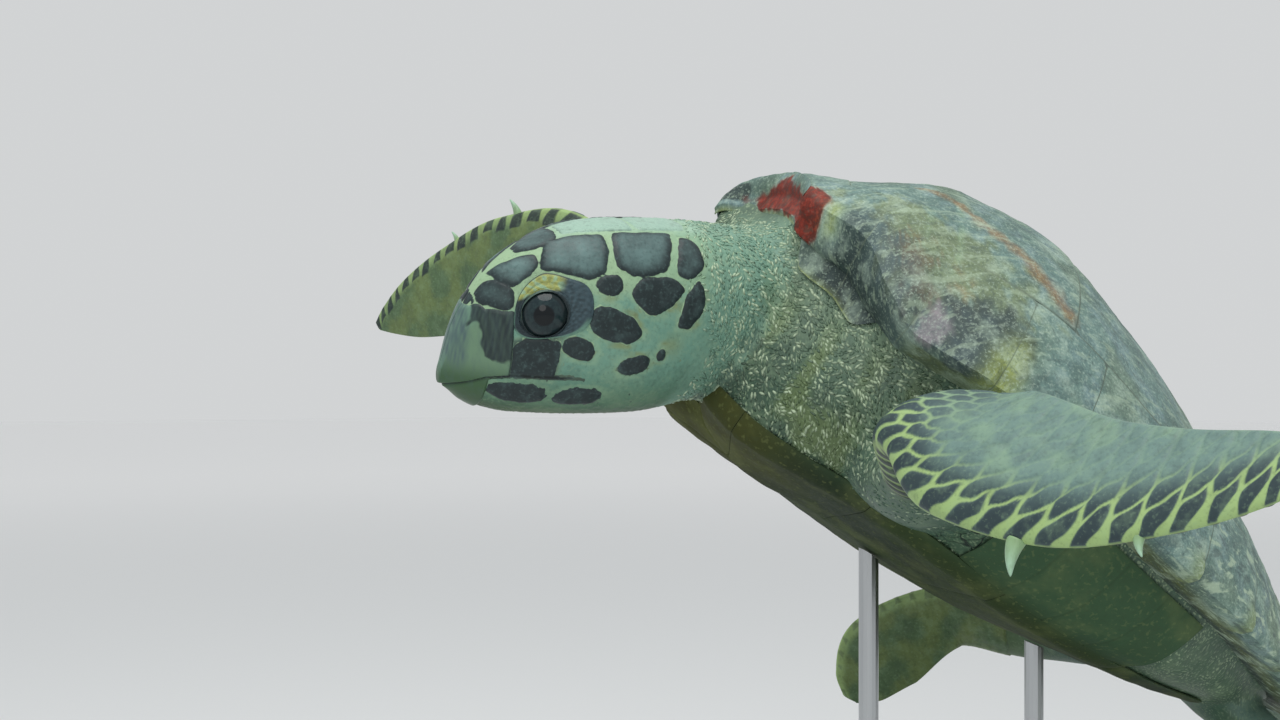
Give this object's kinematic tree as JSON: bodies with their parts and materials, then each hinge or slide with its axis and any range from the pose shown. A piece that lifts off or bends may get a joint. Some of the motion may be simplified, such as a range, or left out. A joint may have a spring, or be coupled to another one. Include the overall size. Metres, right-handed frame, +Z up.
{
  "type": "hawksbill sea turtle model",
  "caption": "Life-size still hawksbill sea turtle swimming nose-up with its flippers spread, held on two rods over a plain flat base.",
  "frame": {"origin": "centre of the underside of the stand's base", "axes": "+Z up, the turtle's head points to -Y, its left side is +X; the body is pitched nose-up by 38.7 degrees and rolled 7 degrees to its left"},
  "size_m": [0.9301, 0.7392, 0.6657],
  "materials": {
    "scute": "worn, algae-mottled keratin plates",
    "rim_scute": "worn keratin plates with pale yellow tips",
    "plastron": "smooth yellow horn, slightly satin",
    "skin": "scaled, pebbled skin",
    "horn": "smooth horny beak",
    "claw": "pale claw horn",
    "eye": "wet, glossy dark eye",
    "stand_base": "satin black board",
    "stand_metal": "brushed steel"
  },
  "bodies": {
    "root": {"beak_upper": "horn", "bridge_left": "plastron", "bridge_right": "plastron", "claw_left_1": "claw", "claw_left_2": "claw", "claw_right_1": "claw", "claw_right_2": "claw", "costal_left_1": "scute", "costal_left_2": "scute", "costal_left_3": "scute", "costal_left_4": "scute", "costal_right_1": "scute", "costal_right_2": "scute", "costal_right_3": "scute", "costal_right_4": "scute", "eye_left": "eye", "eye_right": "eye", "front_arm_left": "skin", "front_arm_right": "skin", "front_blade_left": "skin", "front_blade_right": "skin", "head": "skin", "hind_claw_left": "claw", "hind_claw_right": "claw", "hind_flipper_left": "skin", "hind_flipper_right": "skin", "jaw_lower": "horn", "marginals_left": "rim_scute", "marginals_right": "rim_scute", "neck": "skin", "nuchal": "rim_scute", "plastron_abdominal": "plastron", "plastron_anal": "plastron", "plastron_femoral": "plastron", "plastron_gular": "plastron", "plastron_humeral": "plastron", "plastron_pectoral": "plastron", "stand_base": "stand_base", "stand_foot_front": "stand_metal", "stand_foot_rear": "stand_metal", "stand_rod_front": "stand_metal", "stand_rod_rear": "stand_metal", "supracaudal_left": "rim_scute", "supracaudal_right": "rim_scute", "tail": "skin", "trunk": "skin", "vertebral_1": "scute", "vertebral_2": "scute", "vertebral_3": "scute", "vertebral_4": "scute", "vertebral_5": "scute"}
  },
  "joints": []
}
